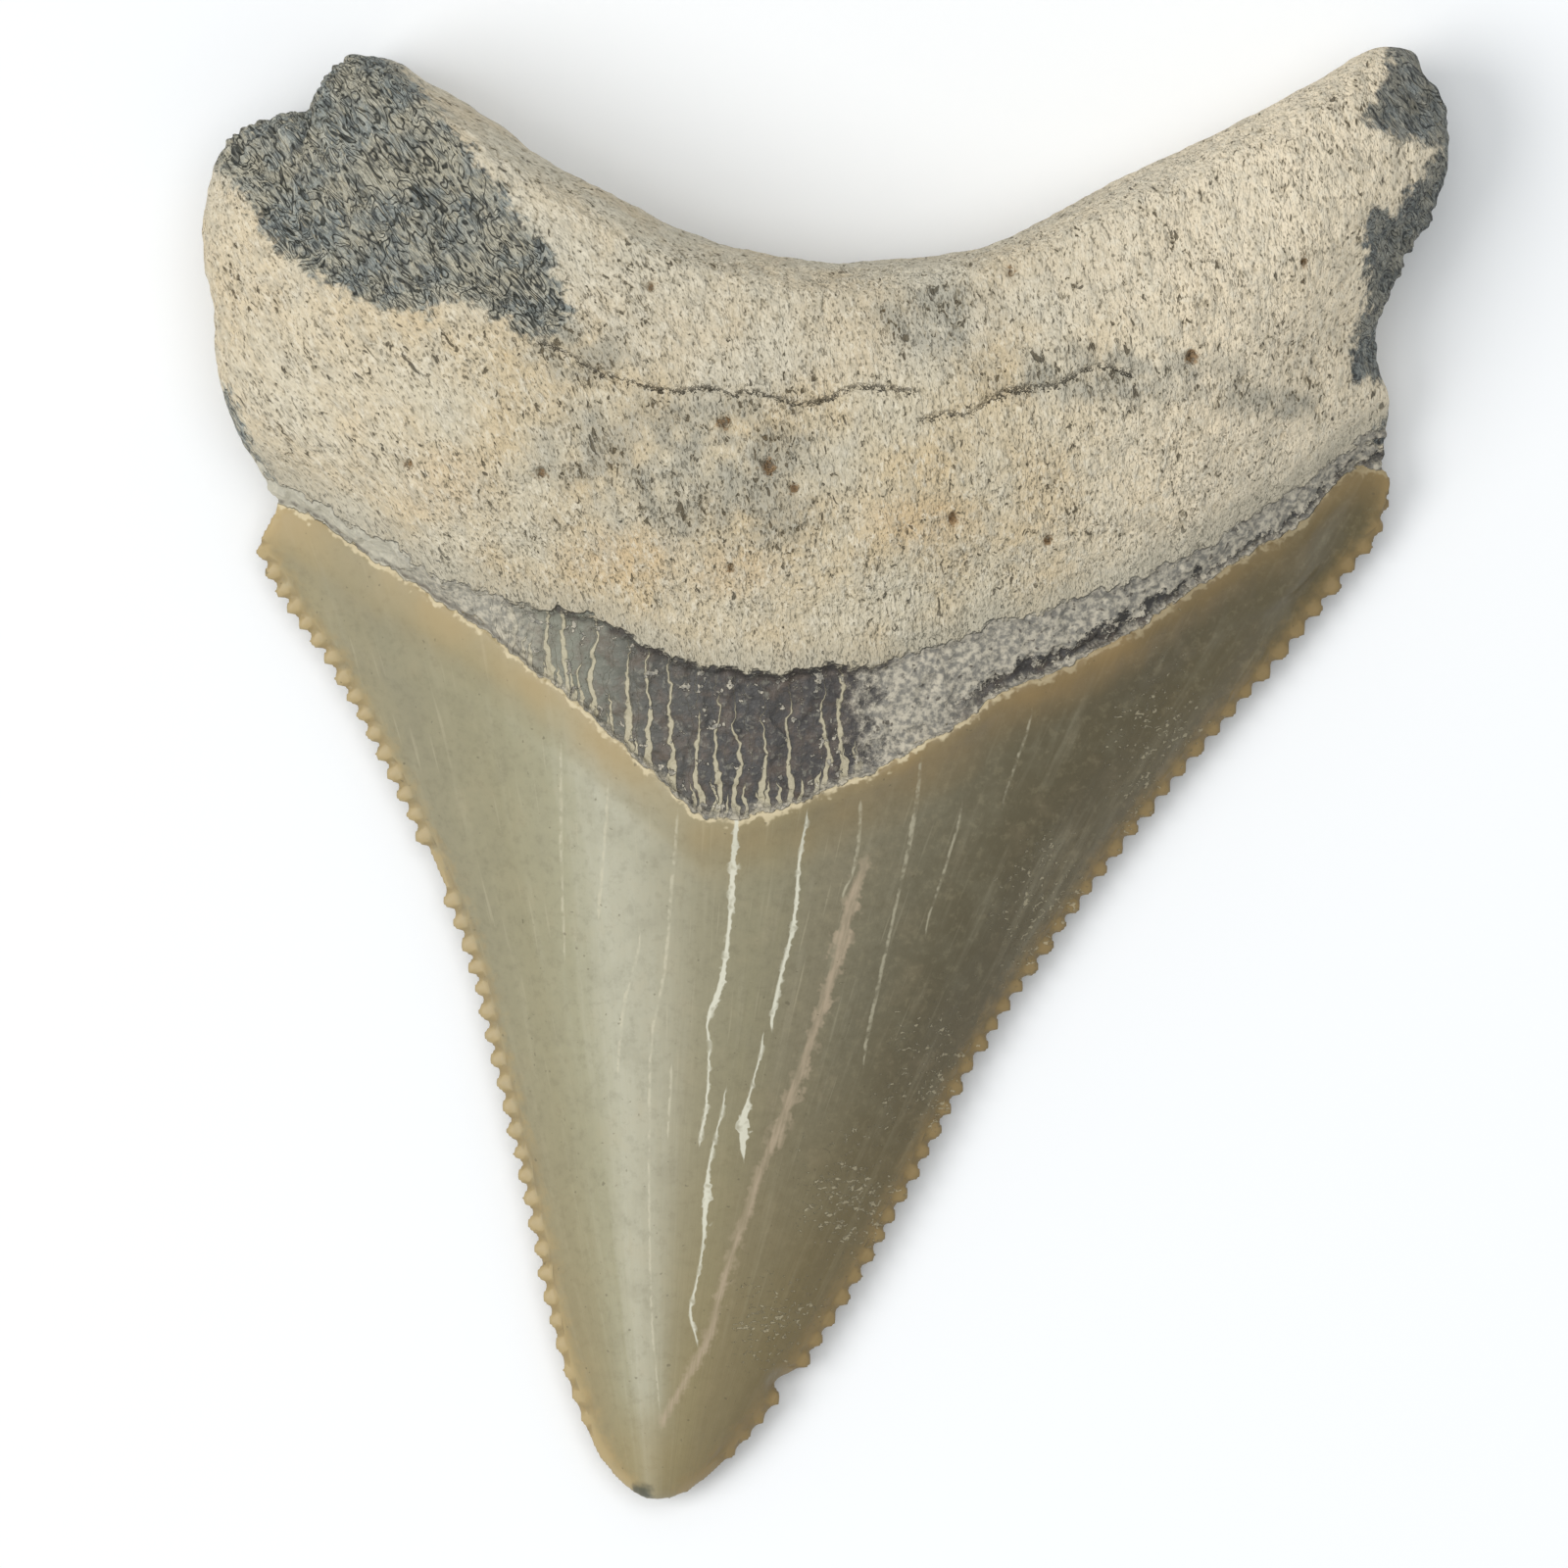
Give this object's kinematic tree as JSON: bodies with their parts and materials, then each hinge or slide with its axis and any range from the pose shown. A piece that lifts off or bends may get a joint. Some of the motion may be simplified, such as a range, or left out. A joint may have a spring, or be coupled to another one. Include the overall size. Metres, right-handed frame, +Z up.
{
  "type": "megalodon tooth",
  "caption": "Fossil shark tooth with a serrated triangular crown, a dark band and a pale porous forked root, lying flat on its outer face.",
  "frame": {"origin": "under the middle of the tooth's box, on the surface that the tooth lies on", "axes": "+Y from the tip towards the root, +X to the right in the picture, +Z up out of the inner face"},
  "size_m": [0.0396, 0.0464, 0.0096],
  "materials": {
    "fossil": "glossy olive-grey enamel on the crown, charcoal band, matt porous cream root with dark broken ends"
  },
  "bodies": {
    "root": {"tooth": "fossil"}
  },
  "joints": []
}
